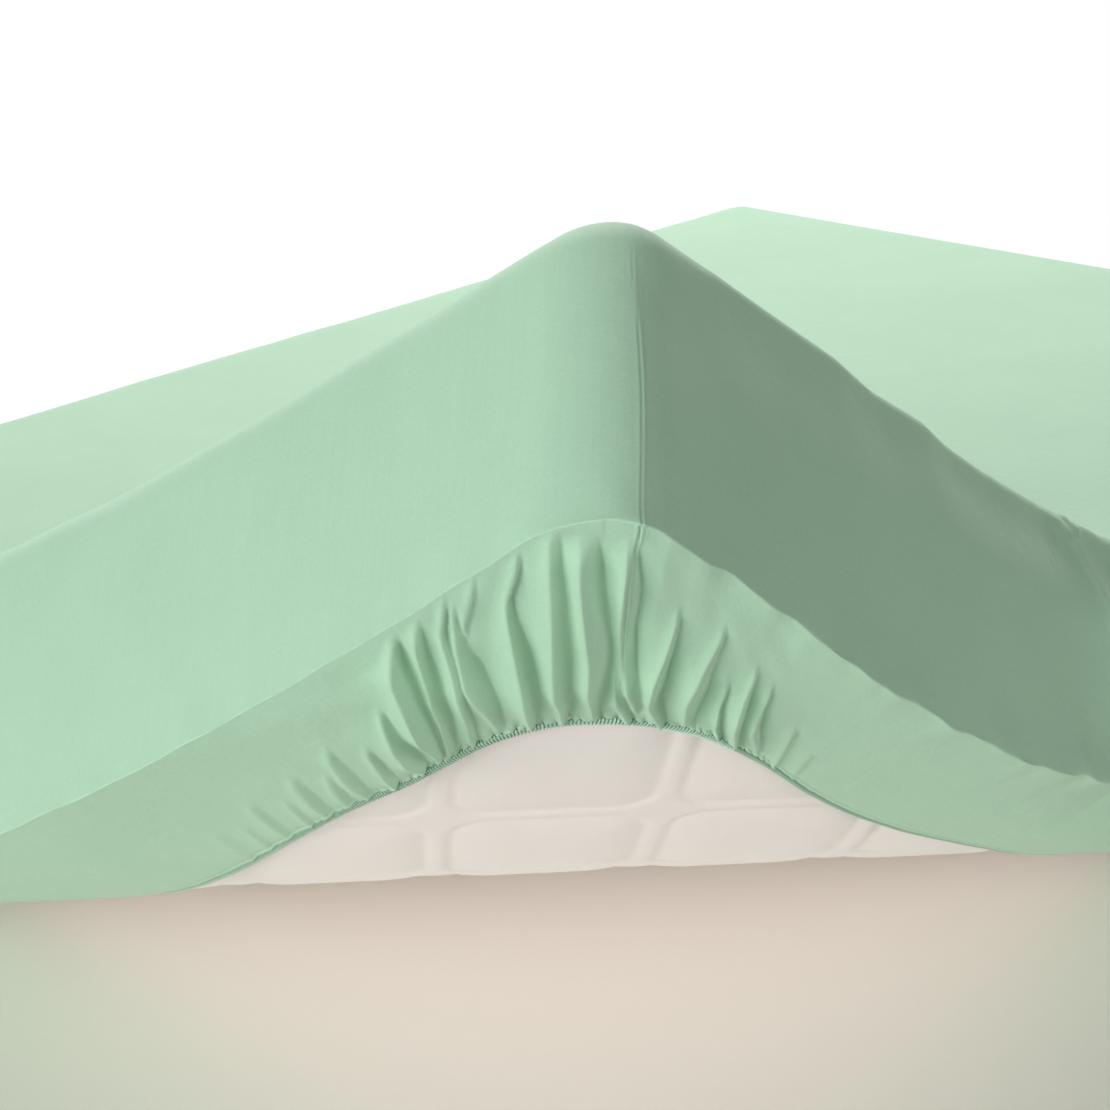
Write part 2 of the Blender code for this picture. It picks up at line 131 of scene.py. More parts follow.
# Gathers of the turned-under band. Each row is one fold: its crest's height as a share of the shaded
# slope's width, and the line down that slope as (share of the way from hem to wall, place along it,
# width of the slope). Places count from the middle of the corner, plus towards the short side.
FOLDS = (
    (1.0, ((1.02, 0.154, 0.006), (0.93, 0.152, 0.011), (0.71, 0.138, 0.012), (0.45, 0.124, 0.012),
           (0.18, 0.111, 0.005))),
    (1.0, ((1.02, 0.134, 0.005), (0.9, 0.13, 0.006), (0.7, 0.12, 0.008), (0.4, 0.107, 0.008),
           (0.16, 0.1, 0.005))),
    (1.1, ((1.05, 0.112, 0.003), (0.95, 0.113, 0.004), (0.77, 0.104, 0.004), (0.56, 0.095, 0.004),
           (0.32, 0.086, 0.004), (0.08, 0.08, 0.003))),
    (0.7, ((1.0, 0.104, 0.003), (0.8, 0.097, 0.007), (0.62, 0.086, 0.013), (0.4, 0.071, 0.009),
           (0.18, 0.062, 0.004))),
    (0.8, ((1.06, 0.088, 0.003), (0.93, 0.094, 0.003))),
    (1.0, ((1.03, 0.052, 0.004), (0.93, 0.06, 0.004), (0.84, 0.058, 0.005), (0.63, 0.049, 0.009),
           (0.45, 0.044, 0.009), (0.29, 0.041, 0.008), (0.08, 0.04, 0.003))),
    (1.0, ((1.03, 0.027, 0.006), (0.85, 0.024, 0.009), (0.54, 0.022, 0.011), (0.37, 0.022, 0.01),
           (0.25, 0.019, 0.008), (0.08, 0.02, 0.003))),
    (1.0, ((0.98, 0.007, 0.01), (0.87, 0.005, 0.012), (0.72, 0.002, 0.013), (0.54, -0.001, 0.013),
           (0.35, 0.0, 0.012), (0.2, 0.001, 0.006), (0.08, 0.001, 0.003))),
    (1.1, ((0.37, -0.009, 0.002), (0.23, -0.013, 0.005), (0.06, -0.021, 0.003))),
    (0.9, ((0.98, -0.017, 0.006), (0.83, -0.018, 0.011), (0.66, -0.016, 0.01), (0.49, -0.018, 0.009),
           (0.33, -0.022, 0.008), (0.21, -0.025, 0.004))),
    (1.0, ((0.78, -0.056, 0.003), (0.61, -0.049, 0.007), (0.42, -0.041, 0.011), (0.29, -0.038, 0.009),
           (0.15, -0.041, 0.005), (0.03, -0.043, 0.003))),
    (0.7, ((0.83, -0.099, 0.004), (0.59, -0.082, 0.009), (0.41, -0.073, 0.017), (0.16, -0.063, 0.007))),
    (1.1, ((0.54, -0.101, 0.003), (0.37, -0.093, 0.004), (0.21, -0.089, 0.004), (0.06, -0.09, 0.003))),
    (0.8, ((0.72, -0.132, 0.003), (0.49, -0.12, 0.009), (0.31, -0.113, 0.01), (0.12, -0.111, 0.006))),
    (0.8, ((0.66, -0.149, 0.003), (0.47, -0.139, 0.006), (0.31, -0.133, 0.009), (0.16, -0.138, 0.004))),
    (0.75, ((0.68, 0.166, 0.004), (0.46, 0.153, 0.008), (0.26, 0.139, 0.01), (0.08, 0.127, 0.005))),
    (0.6, ((0.46, 0.18, 0.004), (0.24, 0.166, 0.006), (0.05, 0.156, 0.005))),
    (0.5, ((0.58, 0.218, 0.005), (0.34, 0.203, 0.008), (0.05, 0.184, 0.005))),
    (0.45, ((0.4, 0.222, 0.004), (0.22, 0.213, 0.006), (0.05, 0.206, 0.004))),
    (0.4, ((0.5, 0.256, 0.006), (0.25, 0.242, 0.008), (0.05, 0.229, 0.005))),
    (0.4, ((0.34, 0.268, 0.004), (0.06, 0.254, 0.004))),
    (0.3, ((0.44, 0.305, 0.006), (0.22, 0.292, 0.007), (0.06, 0.282, 0.004))),
    (0.3, ((0.3, 0.322, 0.004), (0.06, 0.309, 0.004))),
    (0.3, ((0.36, 0.352, 0.006), (0.06, 0.336, 0.005))),
    (0.4, ((0.42, -0.18, 0.006), (0.06, -0.163, 0.005))),
    (0.3, ((0.3, -0.205, 0.005), (0.06, -0.19, 0.004))),
)
FOLD_WIDEN = 1.1  # how much wider all the slopes are built
FOLD_SLOPE = 1.50  # how steeply that slope falls, in heights of the crest to its width
FOLD_HOLLOW = 0.45  # how deep the hollow at its foot is, in heights of the crest
FOLD_LIT, FOLD_TAIL = 0.90, 0.60  # how far the lit side and the hollow reach, as shares of the width
FOLD_ROUND = 0.0008  # of the crest itself
FOLD_FADE, FOLD_PAST = 0.10, 0.08  # share a fold fades over, and how far it runs past its line

PUCKER_FROM, PUCKER_TO = -0.235, 0.42  # places of the puckers beside the hem
PUCKER_MIDDLE, PUCKER_SPREAD = 0.05, 0.17  # where they are largest, and over what length

# The corner seam: place at height, from the hem up to the top edge
SEAM_PLACES = ((-1.0, -0.0185), (-0.79, -0.0171), (-0.56, -0.0136), (-0.41, -0.0136), (-0.31, -0.0143),
               (-0.25, -0.0146), (-0.2, -0.0156), (-0.15, -0.0171), (-0.09, -0.0186), (-0.05, -0.02),
               (-0.02, -0.0207), (0.0, -0.0202), (0.03, -0.0191), (0.1, -0.0188), (0.2, -0.0184),
               (0.3, -0.018), (0.4, -0.0171), (0.48, -0.0163), (0.57, -0.0151), (0.64, -0.0135),
               (0.72, -0.0125))
SEAM_END, SEAM_FADE = 0.72, 0.06  # share of the wall that the seam climbs
SEAM_WIDTH, SEAM_HEIGHT, SEAM_GROOVE = 0.0013, 0.0003, 0.0006
SEAM_UNDER = 2.4  # how much stronger the seam is on the band
SEAM_START, SEAM_RISE = 0.1, 0.5  # share of the band where it starts, and over which it grows
SEAM_NEAR = -0.020 + np.arange(-0.012, 0.0121, 0.0006)  # columns of cloth round the near corner's seam
SEAM_FAR = -0.0216  # place of the other corners' seams
SEAM_FAR_COLUMNS = [SEAM_FAR + step * 0.0007 for step in range(-8, 9)]
SEAM_CUT = -0.0195  # place where the cloth's two sides are cut and sewn together
# How far the corner seam is pulled out, how wide on each side of it, and up to which share of the wall
TENT_RISE, TENT_REACH_LONG, TENT_REACH_SHORT = 0.0030, 0.014, 0.060
TENT_END, TENT_FADE = 0.80, 0.25

# Soft creases of the walls: line down the crest as (distance along the long side, height), how far
# the crest stands out, and the reach of its upper and lower side
WALL_CREASES = (
    (((0.5185, 0.22), (0.528, 0.215), (0.538, 0.212), (0.546, 0.208), (0.555, 0.201), (0.56, 0.187),
      (0.565, 0.174), (0.569, 0.159), (0.574, 0.142), (0.58, 0.1255), (0.588, 0.105), (0.6, 0.08),
      (0.618, 0.05), (0.635, 0.022)), 0.011, 0.018, 0.02),
    (((0.55, 0.222), (0.566, 0.218), (0.58, 0.217), (0.592, 0.218)), 0.0016, 0.007, 0.008),
    (((0.565, 0.228), (0.59, 0.226), (0.63, 0.226)), 0.0012, 0.008, 0.008),
)
PINCH, PINCH_WIDTH = 0.0016, 0.0030  # the thin line that is pinched along a crest
CREASE_IN, CREASE_OUT = 0.20, 0.35  # shares of its line over which a crease starts and ends
CREASE_TOP, CREASE_FADE = 0.245, 0.030  # height where creases end, and over how much
CREASE_FROM = -0.05  # place from which the long side has them

# Soft unevenness: seed, number of waves, longest, shortest, and height
EDGE_LUMPS = (17, 7, 0.11, 0.025, 0.0013)
EDGE_WAVES = (5, 8, 0.09, 0.02, 0.0006)
BAND_LUMPS = (3, 9, 0.12, 0.03, 0.0006)
WALL_LUMPS = (11, 12, 0.45, 0.10, 0.0011)
TOP_LUMPS = (21, 10, 0.80, 0.22, 0.0007)

MINT = (0.479, 0.745, 0.530)
MINT_DARK = (0.445, 0.697, 0.492)
MINT_LIGHT = (0.513, 0.778, 0.556)
# darker than the sheet's mint: partly the cord's own tone, partly painted shade for the dark line along the hem
# near the floor
CORD_TONE_AND_SHADE = (0.300, 0.520, 0.360)
THREAD = (0.560, 0.770, 0.610)
YARNS = 0.0006  # from a yarn of the weave to the next but one
IVORY = (0.940, 0.870, 0.818)
FLOOR = (1.000, 0.945, 0.880)

DIAGONAL = math.sqrt(0.5)
CORNER_CUT = CORNER_RADIUS * (1 - math.pi / 4)  # from a place on a straight side to its p or q
COLUMN_GAP = 0.0003  # least distance between two columns
# Arcs from a corner's middle to the middle of each side
SHORT, LONG = (side / 2 - CORNER_RADIUS + CORNER_RADIUS * math.pi / 4 for side in (WIDTH, LENGTH))

draw = random.Random(7)  # the puckers draw from it first, then the stitches


def smooth(t):
    """Ease from 0 to 1 while t goes from 0 to 1."""
    t = np.clip(t, 0.0, 1.0)
    return t * t * (3 - 2 * t)


def read_off(table, x):
    """Values of a table of (x, value) rows."""
    return np.interp(x, *np.array(table).T)


def bend(points):
    """Lift the near corner: rows of flat p, q, w become rows of bent p, q and height."""
    p, q, w = points.T
    steps = np.linspace(0, 1.1 * LIFT_START, 441)
    slopes = EASE_ANGLE * smooth(steps / EASE_LENGTH)
    slopes += TIP_CURL * np.clip(steps - EASE_LENGTH, 0, None)
    pace = steps[1] - steps[0]
    runs = np.append(0, np.cumsum((np.cos(slopes[1:]) + np.cos(slopes[:-1])) * pace / 2))
    rises = np.append(0, np.cumsum((np.sin(slopes[1:]) + np.sin(slopes[:-1])) * pace / 2))
    lifted = np.clip(LIFT_START - (p + q) / math.sqrt(2), 0, None)
    slope = np.interp(lifted, steps, slopes)
    above = w - NEUTRAL
    back = lifted - np.interp(lifted, steps, runs) + above * np.sin(slope)
    height = NEUTRAL + np.interp(lifted, steps, rises) + above * np.cos(slope)
    return np.stack([p + math.cos(DRAW_ANGLE) * back, q + math.sin(DRAW_ANGLE) * back, height], axis=1)


sheet_low, sheet_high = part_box("sheet")
START_X = sheet_low[0] + WIDTH + SIDE_GAP + CLOTH
START_Y = sheet_high[1] - LENGTH - SIDE_GAP - CLOTH


def to_world(points):
    """Flat p, q, w to X, Y, Z of the solids."""
    bent = bend(points)
    return np.stack([START_X - bent[:, 0], START_Y + bent[:, 1], bent[:, 2]], axis=1)


# ---- outlines

def corner_points(arc, inset_p, inset_q, radius):
    """Points of a rounded corner and their outward directions, arc metres from its middle."""
    turn = np.clip(math.pi / 4 + arc / radius, 0, math.pi / 2)
    straight = np.clip(np.abs(arc) - radius * math.pi / 4, 0, None)
    p = inset_p + radius * (1 - np.cos(turn)) + np.where(arc > 0, straight, 0)
    q = inset_q + radius * (1 - np.sin(turn)) + np.where(arc > 0, 0, straight)
    return np.stack([p, q], axis=1), -np.stack([np.cos(turn), np.sin(turn)], axis=1)


def hem_arcs(arc):
    """Where the cloth that leaves the wall at arc meets the hem, along the hem."""
    far = np.where(arc > 0, SHORT, LONG)
    band = np.where(arc > 0, BAND_LONG, BAND_SHORT)
    shorter = band + (HEM_RADIUS - CORNER_RADIUS) * (1 - math.pi / 4)
    share = (1 - np.exp(-np.abs(arc) / HEM_DRAW)) / (1 - np.exp(-far / HEM_DRAW))
    return np.copysign(np.abs(arc) - shorter * share, arc)


def bows(place):
    """How much wider the band is at a place along the hem than near the corner."""
    short = BOW_SHORT * smooth((place - BOW_SHORT_START) / (BOW_SHORT_END - BOW_SHORT_START))
    long = BOW_LONG * smooth((-place - BOW_LONG_START) / (BOW_LONG_END - BOW_LONG_START))
    return np.where(place > 0, short, long)


def graded(bands):
    """Places from 0 on, at the step of each (end, step) band in turn."""
    places, start = [0.0], 0.0
    for end, step in bands:
        count = max(1, math.ceil((end - start) / step))
        places += list(np.linspace(start, end, count + 1)[1:])
        start = end
    return places


def make_columns(near, far):
    """Columns round the mattress: arc from its corner, and whether p and q are mirrored.

    near and far hold the short side's bands, the long side's, and the columns at the seam.
    """
    arcs, flips_p, flips_q = [], [], []
    for number, (flip_p, flip_q) in enumerate(((0, 0), (1, 0), (1, 1), (0, 1))):
        on_short, on_long, seam = far if number else near
        places = {-place for place in graded(on_long)} | set(graded(on_short))
        for place in seam:
            places = {other for other in places if abs(other - place) > COLUMN_GAP} | {place}
        places = sorted(places)
        if number % 2:
            places.reverse()
        arcs += places[:-1]
        flips_p += [flip_p] * (len(places) - 1)
        flips_q += [flip_q] * (len(places) - 1)
    return np.array(arcs), np.array(flips_p, bool), np.array(flips_q, bool)


def placed(points, flip_p, flip_q):
    """All columns' points as rows, each column moved to its own quarter."""
    moved = points.reshape(len(flip_p), -1, points.shape[-1]).copy()
    moved[flip_p, :, 0] = WIDTH - moved[flip_p, :, 0]
    moved[flip_q, :, 1] = LENGTH - moved[flip_q, :, 1]
    return moved.reshape(-1, points.shape[-1])


# ---- reliefs of the cloth

def lumps(kind, u, v):
    """A soft uneven surface over the lengths u and v, made of a few crossing waves."""
    seed, count, longest, shortest, height = kind
    pick = random.Random(seed)
    waves = []
    for _ in range(count):
        length = shortest * (longest / shortest) ** pick.random()
        heading, phase = pick.uniform(0, math.pi), pick.uniform(0, 2 * math.pi)
        waves.append((math.cos(heading) * 2 * math.pi / length, math.sin(heading) * 2 * math.pi / length, phase,
                      (length / longest) ** 0.8))
    total = math.sqrt(sum(wave[3] ** 2 for wave in waves) / 2)
    return height / total * sum(size * np.sin(a * u + b * v + phase) for a, b, phase, size in waves)


def gathered(arc):
    """How gathered the cloth is, from 0 to 1."""
    reach = np.where(arc > 0, PUFF_REACH_SHORT, PUFF_REACH_LONG)
    return 1 - smooth((np.abs(arc) / reach - 1 + PUFF_FADE) / PUFF_FADE)


def puffs(arc, share):
    """How far the gathered cloth stands off the mattress, from the hem to the wall."""
    return gathered(arc) * (PUFF_HEM * (1 - share) + PUFF_MIDDLE * np.sin(math.pi * share))


def edge_drops(arc, near):
    """How far the cloth hangs below the mattress at the wall's lower edge, and how unevenly."""
    drops = read_off(EDGE_DROPS, arc)
    uneven = lumps(EDGE_LUMPS, arc, 0.0) * np.where(arc < 0, 1.0, UNEVEN_SHORT)
    return np.where(near, drops, 0), np.where(near, uneven * smooth(drops / UNEVEN_DROP), 0)


def edge_lift(arc, inset):
    """How far the underside rises towards the long side's lower edge, from inset metres inside it."""
    return read_off(EDGE_LIFTS, arc) * (1 - smooth(inset / LIFT_REACH))


def folds(place, share):
    """Gathers: each fold is a crest with a steep shaded slope on its - side and a gentle one on its + side."""
    total = np.zeros_like(place)
    for strength, line in FOLDS:
        shares, places, widths = np.array(line[::-1]).T
        middle = np.interp(share, shares, places)
        width = np.interp(share, shares, widths) * FOLD_WIDEN
        fade = smooth((share - shares[0] + FOLD_FADE) / FOLD_FADE)
        fade *= smooth((shares[-1] + FOLD_PAST - share) / FOLD_FADE)
        across = place - middle - width / 2
        away = (np.sqrt(across ** 2 + FOLD_ROUND ** 2) - FOLD_ROUND) / width
        foot = (1 + FOLD_HOLLOW) / FOLD_SLOPE
        shaded = np.where(away < foot, 1 - FOLD_SLOPE * away, -FOLD_HOLLOW * np.exp((foot - away) / FOLD_TAIL))
        total += strength * width * fade * np.where(across > 0, np.exp(-away / FOLD_LIT), shaded)
    return total


def random_puckers():
    """Puckers beside the hem: place, slant, reach, depth and width of each."""
    made, place = [], PUCKER_FROM
    while place < PUCKER_TO:
        size = math.exp(-((place - PUCKER_MIDDLE) / PUCKER_SPREAD) ** 2)
        made.append((place, draw.uniform(-0.02, 0.02), draw.uniform(0.05, 0.09) + draw.uniform(0, 0.12) * size,
                     draw.uniform(0.0014, 0.0034) * (0.25 + 0.75 * size), draw.uniform(0.0013, 0.0022)))
        place += draw.uniform(0.0055, 0.0105)
    return made


PUCKERS = random_puckers()


def puckers(place, share):
    """Short sharp puckers that the elastic draws along the hem."""
    total = np.zeros_like(place)
    for hem, slant, reach, depth, width in PUCKERS:
        across = np.abs(place - hem - slant * share) / (width * (1 + 2 * share / reach))
        total -= depth * np.clip(1 - share / reach, 0, 1) ** 1.3 * np.exp(-across ** 1.4)
    return total


def seam_relief(across):
    """A sewn seam: a narrow groove with a ridge beside it."""
    return (SEAM_HEIGHT * np.exp(-((across + SEAM_WIDTH) / SEAM_WIDTH) ** 2)
            - SEAM_GROOVE * np.exp(-(across / (0.6 * SEAM_WIDTH)) ** 2)
            + 0.6 * SEAM_HEIGHT * np.exp(-((across - SEAM_WIDTH) / SEAM_WIDTH) ** 2))


def seam_tent(across):
    """How far the corner seam pulls the cloth out beside it."""
    return TENT_RISE * np.exp(-np.abs(across) / np.where(across < 0, TENT_REACH_LONG, TENT_REACH_SHORT))


def crease_relief(along, up):
    """Creases of the long side's wall, next to where it starts to lift."""
    total = np.zeros_like(along)
    for line, crest, reach_above, reach_below in WALL_CREASES:
        best = np.full(along.shape, np.inf)
        side = np.zeros_like(along)
        travel = np.zeros_like(along)
        line = np.array(line)
        lengths = np.hypot(*(line[1:] - line[:-1]).T)
        for number, (start, end) in enumerate(zip(line[:-1], line[1:])):
            run = end - start
            t = np.clip(((along - start[0]) * run[0] + (up - start[1]) * run[1]) / (run @ run), 0, 1)
            away_a, away_b = along - start[0] - t * run[0], up - start[1] - t * run[1]
            distance = np.hypot(away_a, away_b)
            nearer = distance < best
            best = np.where(nearer, distance, best)
            side = np.where(nearer, np.sign(run[0] * away_b - run[1] * away_a), side)
            travel = np.where(nearer, (lengths[:number].sum() + t * lengths[number]) / lengths.sum(), travel)
        fade = smooth(travel / CREASE_IN) * smooth((1 - travel) / CREASE_OUT)
        relief = crest * np.exp(-best / np.where(side > 0, reach_above, reach_below))
        total += fade * (relief + PINCH * np.exp(-(best / PINCH_WIDTH) ** 2))
    return total * smooth((CREASE_TOP - up) / CREASE_FADE)


# ---- sections

def ridge_inset(arc):
    """Radius of the top edge, and how far it lies inside and below the plain rounding."""
    crisp = smooth((-arc - RIDGE_START) / (RIDGE_FULL - RIDGE_START))
    crisp *= smooth((arc + RIDGE_END) / (RIDGE_END - RIDGE_FADE))
    radius = TOP_RADIUS - (TOP_RADIUS - RIDGE_RADIUS) * crisp
    return radius, (TOP_RADIUS - radius) * (1 - DIAGONAL) + read_off(RIDGE_DEPTHS, -arc) * DIAGONAL


def sections(arc, near, gaps, drop, bottom_rows, wall_rows, top_rows):
    """Offset and height of each column's rows from bottom edge to flat top, and outward directions.

    gaps are those to the mattress's side, top and underside.
    """
    side, top, under = gaps
    radius, inset = ridge_inset(np.where(near, arc, 1.0))
    turns = np.linspace(0, math.pi / 2, bottom_rows + 1)
    low = UNDERSIDE - under - drop + LOW_RADIUS
    high = TOP - inset - radius
    offsets = [np.full(len(arc), side - LOW_RADIUS * (1 - math.sin(turn))) for turn in turns]
    heights = [low - LOW_RADIUS * math.cos(turn) for turn in turns]
    directions = [(math.sin(turn), -math.cos(turn)) for turn in turns]
    for share in np.concatenate([FIRST_WALL_ROWS, np.linspace(FIRST_WALL_ROWS[-1], 1, wall_rows + 1)[1:]]):
        height = low + (high - low) * share
        offsets.append(side - inset * smooth((height - high) / LEAN + 1))
        heights.append(height)
        directions.append((1.0, 0.0))
    for turn in np.linspace(0, math.pi / 2, top_rows + 1)[1:]:
        offsets.append(-inset - radius + (radius + side) * math.cos(turn))
        heights.append(high + (radius + top) * math.sin(turn))
        directions.append((math.cos(turn), math.sin(turn)))
    return np.array(offsets).T, np.array(heights).T, np.array(directions).T


def top_drop(p, q):
    """How far the flat top dips towards the drawn-in edge of the long side."""
    radius, inset = ridge_inset(-(q - CORNER_CUT))
    return inset * (1 - smooth((p - radius - inset) / TOP_SLOPE))


def hem_points(arc, near):
    """Each column's place along the hem, its point, the hem's outward direction and the drawn-up part."""
    place = hem_arcs(arc)
    hem, outward = corner_points(place, BAND_LONG, BAND_SHORT, HEM_RADIUS)
    hem -= outward * bows(place)[:, None]
    moves = np.where(near, read_off(HEM_MOVES, arc), 0)
    return place, hem, outward, moves


def filled(flat, columns, count, row, inner, heights):
    """Points with the inner ones added, and triangles that fill the ring of one row with them."""
    loop = flat[:columns * count].reshape(columns, count, 3)[:, row, :2]
    spots = [Vector(spot) for spot in loop.tolist() + inner.tolist()]
    _, _, faces, origins, _, _ = delaunay_2d_cdt(spots, [], [list(range(columns))], 1, 1e-7)
    numbers = list(range(row, columns * count, count)) + list(range(len(flat), len(flat) + len(inner)))
    number = [numbers[min(old)] if old else None for old in origins]
    faces = [[number[vert] for vert in face] for face in faces]
    faces = [face for face in faces if None not in face and len(set(face)) == 3]
    return np.concatenate([flat, np.column_stack([inner, heights])]), faces


def ring_faces(columns, rows, closed=False):
    """Quads of a closed ring of columns, whose points are laid out column by column."""
    column, row = np.meshgrid(np.arange(columns), np.arange(rows if closed else rows - 1), indexing="ij")
    here, there, beside = column * rows, (column + 1) % columns * rows, (row + 1) % rows
    return np.stack([here + row, here + beside, there + beside, there + row], axis=-1).reshape(-1, 4).tolist()


def new_linked(name, data):
    """A new object in the scene."""
    made = bpy.data.objects.new(name, data)
    scene.collection.objects.link(made)
    return made


def new_piece(name, points, faces, material):
    """A smooth-shaded piece of the part, just off the floor, with its faces turned outward."""
    points = np.array(points)
    points[:, 2] = np.maximum(points[:, 2], FLOOR_GAP)
    mesh = bpy.data.meshes.new(name)
    mesh.from_pydata(points.tolist(), [], faces)
    mesh.validate()
    mesh.materials.append(material)
    mesh.shade_smooth()
    made = new_linked(name, mesh)
    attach(made, "root")
    face_outward(made)
    return made


def face_outward(made):
    """Turn every face the same way, with the highest one up."""
    mesh = bmesh.new()
    mesh.from_mesh(made.data)
    bmesh.ops.recalc_face_normals(mesh, faces=mesh.faces)
    mesh.normal_update()
    highest = max(mesh.faces, key=lambda face: face.calc_center_median().z)
    if highest.normal.z < 0:
        bmesh.ops.reverse_faces(mesh, faces=mesh.faces)
    mesh.to_mesh(made.data)
    mesh.free()


def set_flat_map(made, flat):
    """Keep each point's place on the flat cloth, in metres, as the object's UV map."""
    layer = made.data.uv_layers.new(name="UVMap")
    corners = np.empty(len(made.data.loops), dtype=np.int32)
    made.data.loops.foreach_get("vertex_index", corners)
    layer.data.foreach_set("uv", np.asarray(flat, dtype=np.float32)[corners].ravel())


# ---- materials

def tinted(colour, factor):
    """A colour that many times as bright."""
    return tuple(part * factor for part in colour)


def new_material(name, colour, roughness, **inputs):
    """A material with a Principled shader: the material, its node tree and the shader."""
    material = bpy.data.materials.new(name)
    material.use_nodes = True
    tree = material.node_tree
    shader = tree.nodes["Principled BSDF"]
    shader.inputs["Base Color"].default_value = (*colour, 1)
    shader.inputs["Roughness"].default_value = roughness
    for key, value in inputs.items():
        shader.inputs[key.replace("_", " ")].default_value = value
    return material, tree, shader


def node(tree, kind, links=(), **values):
    """A node with settings, socket values and links into its sockets."""
    made = tree.nodes.new(kind)
    for key, value in values.items():
        if hasattr(made, key):
            setattr(made, key, value)
        else:
            made.inputs[key.replace("_", " ")].default_value = value
    for socket, source in links:
        tree.links.new(source, made.inputs[socket])
    return made


def math_node(tree, operation, *values):
    """A Math node of sockets or numbers."""
    made = tree.nodes.new("ShaderNodeMath")
    made.operation = operation
    for number, value in enumerate(values):
        if isinstance(value, (int, float)):
            made.inputs[number].default_value = value
        else:
            tree.links.new(value, made.inputs[number])
    return made.outputs[0]


def weighted(tree, *terms):
    """Sum of sockets, each times its weight."""
    total = 0.0
    for source, weight in terms:
        total = math_node(tree, "MULTIPLY_ADD", source, weight, total)
    return total


def noise(tree, vector, scale, detail, roughness=0.5):
    """Noise from 0 to 1, that many times as fine as the coordinates."""
    return node(tree, "ShaderNodeTexNoise", [("Vector", vector)],
                Scale=scale, Detail=detail, Roughness=roughness).outputs["Fac"]


def relief(tree, height, strength, distance, links=()):
    """Normals of a surface with a small relief."""
    return node(tree, "ShaderNodeBump", [("Height", height), *links],
                Strength=strength, Distance=distance).outputs["Normal"]


def mix_colours(tree, factor, first, second):
    """A colour between two as the factor goes from 0 to 1."""
    made = tree.nodes.new("ShaderNodeMix")
    made.data_type = "RGBA"
    tree.links.new(factor, made.inputs["Factor"])
    colours = [socket for socket in made.inputs if socket.type == "RGBA"]
    for socket, value in zip(colours, (first, second)):
        socket.default_value = (*value, 1)
    return [socket for socket in made.outputs if socket.type == "RGBA"][0]


def cloth_material():
    """Plain-woven cotton: yarns with slubs, soft mottling and a faint nap."""
    material, tree, shader = new_material(
        "woven_cotton", MINT, 0.85, Sheen_Weight=0.15, Sheen_Roughness=0.5, Specular_IOR_Level=0.25)
    flat = tree.nodes.new("ShaderNodeUVMap")
    flat.uv_map = "UVMap"
    place = flat.outputs["UV"]
    warp, weft, slubs = (
        noise(tree, node(tree, "ShaderNodeMapping", [("Vector", place)], Scale=scale).outputs[0], 1.0, detail)
        for scale, detail in (((1400, 14, 1), 2.0), ((14, 1400, 1), 2.0), ((260, 6, 1), 3.0)))
    cloud = noise(tree, place, 9.0, 5.0)
    fuzz = noise(tree, place, 420.0, 3.0, 0.6)
    yarns = math_node(tree, "ADD", warp, weft)
    shade = weighted(tree, (slubs, 0.35), (yarns, 0.30), (cloud, 0.70), (fuzz, 1.30))
    colour = mix_colours(tree, math_node(tree, "SUBTRACT", shade, 0.975), MINT_DARK, MINT_LIGHT)
    tree.links.new(colour, shader.inputs["Base Color"])
    thread = 2 * math.pi / YARNS
    split = node(tree, "ShaderNodeSeparateXYZ", [("Vector", place)])
    across = math_node(tree, "SINE", math_node(tree, "MULTIPLY", split.outputs["X"], thread))
    along = math_node(tree, "SINE", math_node(tree, "MULTIPLY", split.outputs["Y"], thread))
    weave = math_node(tree, "MULTIPLY", across, along)
    fine = relief(tree, weighted(tree, (yarns, 0.2), (weave, 0.25)), 0.35, 0.00025)
    soft = relief(tree, noise(tree, place, 60.0, 4.0), 0.45, 0.0014, [("Normal", fine)])
    tree.links.new(soft, shader.inputs["Normal"])
    return material


def thread_material(name, colour):
    """Spun thread: fine twist and uneven shade."""
    material, tree, shader = new_material(name, colour, 0.8, Sheen_Weight=0.2, Sheen_Roughness=0.4)
    place = node(tree, "ShaderNodeTexCoord").outputs["Object"]
    shade = noise(tree, place, 900.0, 2.0)
    mixed = mix_colours(tree, shade, tinted(colour, 0.80), tinted(colour, 1.12))
    tree.links.new(mixed, shader.inputs["Base Color"])
    tree.links.new(relief(tree, noise(tree, place, 2600.0, 1.0), 0.4, 0.0002), shader.inputs["Normal"])
    return material


def cover_material():
    """Knitted mattress cover: fine loops and soft mottling."""
    material, tree, shader = new_material(
        "knitted_cover", IVORY, 0.9, Sheen_Weight=0.25, Sheen_Roughness=0.5, Specular_IOR_Level=0.2)
    place = node(tree, "ShaderNodeTexCoord").outputs["Object"]
    cloud = noise(tree, place, 12.0, 3.0)
    fine = noise(tree, place, 700.0, 2.0)
    shade = weighted(tree, (cloud, 0.65), (fine, 0.35))
    colour = mix_colours(tree, shade, tinted(IVORY, 0.97), tinted(IVORY, 1.03))
    tree.links.new(colour, shader.inputs["Base Color"])
    tree.links.new(relief(tree, fine, 0.3, 0.0006), shader.inputs["Normal"])
    return material


def floor_material():
    """Plain pale floor with a faint grain."""
    material, tree, shader = new_material("pale_floor", FLOOR, 0.95, Specular_IOR_Level=0.1)
    place = node(tree, "ShaderNodeTexCoord").outputs["Object"]
    grain = noise(tree, place, 160.0, 4.0)
    colour = mix_colours(tree, grain, tinted(FLOOR, 0.985), tinted(FLOOR, 1.015))
    tree.links.new(colour, shader.inputs["Base Color"])
    return material


# ---- fitted sheet

